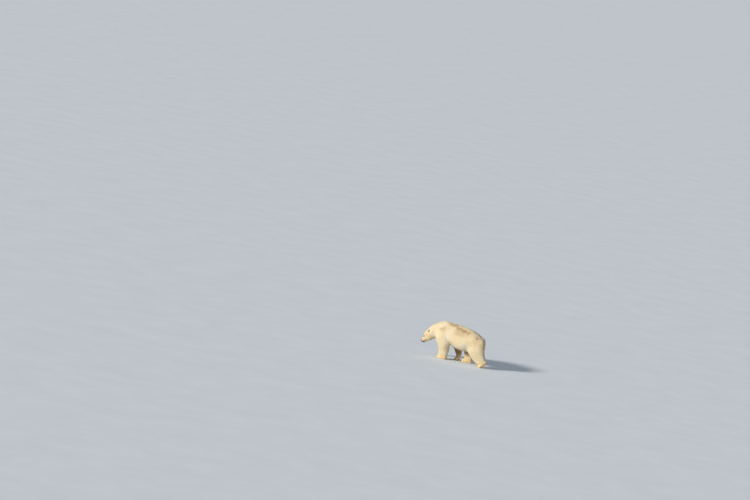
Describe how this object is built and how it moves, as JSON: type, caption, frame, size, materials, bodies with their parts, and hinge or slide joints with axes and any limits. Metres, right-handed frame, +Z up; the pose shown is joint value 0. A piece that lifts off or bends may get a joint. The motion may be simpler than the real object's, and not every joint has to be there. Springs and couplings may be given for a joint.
{
  "type": "polar bear",
  "caption": "Life-size polar bear walking on all fours, head low and turned a little to its left, hind leg stretched back, with a thick cream coat; a still model",
  "frame": {"origin": "middle of the footprint of the whole bear, at floor level", "axes": "+Z up, -X the way the bear walks, -Y its left side"},
  "size_m": [2.0846, 0.6597, 1.0563],
  "materials": {
    "coat": "dense pale cream fur, matt, stained tan along the flank and yellow at the paws",
    "nose": "bare black skin, finely pebbled, slightly moist",
    "eye": "very dark brown, wet and glossy",
    "claw": "dark brown-black horn, smooth, worn paler at the tip"
  },
  "bodies": {
    "root": {"head": "coat", "neck": "coat", "trunk": "coat", "tail": "coat", "left_ear": "coat", "right_ear": "coat", "fore_left_leg": "coat", "fore_right_leg": "coat", "hind_left_leg": "coat", "hind_right_leg": "coat", "fore_left_paw": "coat", "fore_right_paw": "coat", "hind_left_paw": "coat", "hind_right_paw": "coat", "nose": "nose", "left_eye": "eye", "right_eye": "eye", "fore_left_claw_1": "claw", "fore_left_claw_2": "claw", "fore_left_claw_3": "claw", "fore_left_claw_4": "claw", "fore_left_claw_5": "claw", "fore_right_claw_1": "claw", "fore_right_claw_2": "claw", "fore_right_claw_3": "claw", "fore_right_claw_4": "claw", "fore_right_claw_5": "claw", "hind_left_claw_1": "claw", "hind_left_claw_2": "claw", "hind_left_claw_3": "claw", "hind_left_claw_4": "claw", "hind_left_claw_5": "claw", "hind_right_claw_1": "claw", "hind_right_claw_2": "claw", "hind_right_claw_3": "claw", "hind_right_claw_4": "claw", "hind_right_claw_5": "claw"}
  },
  "joints": []
}
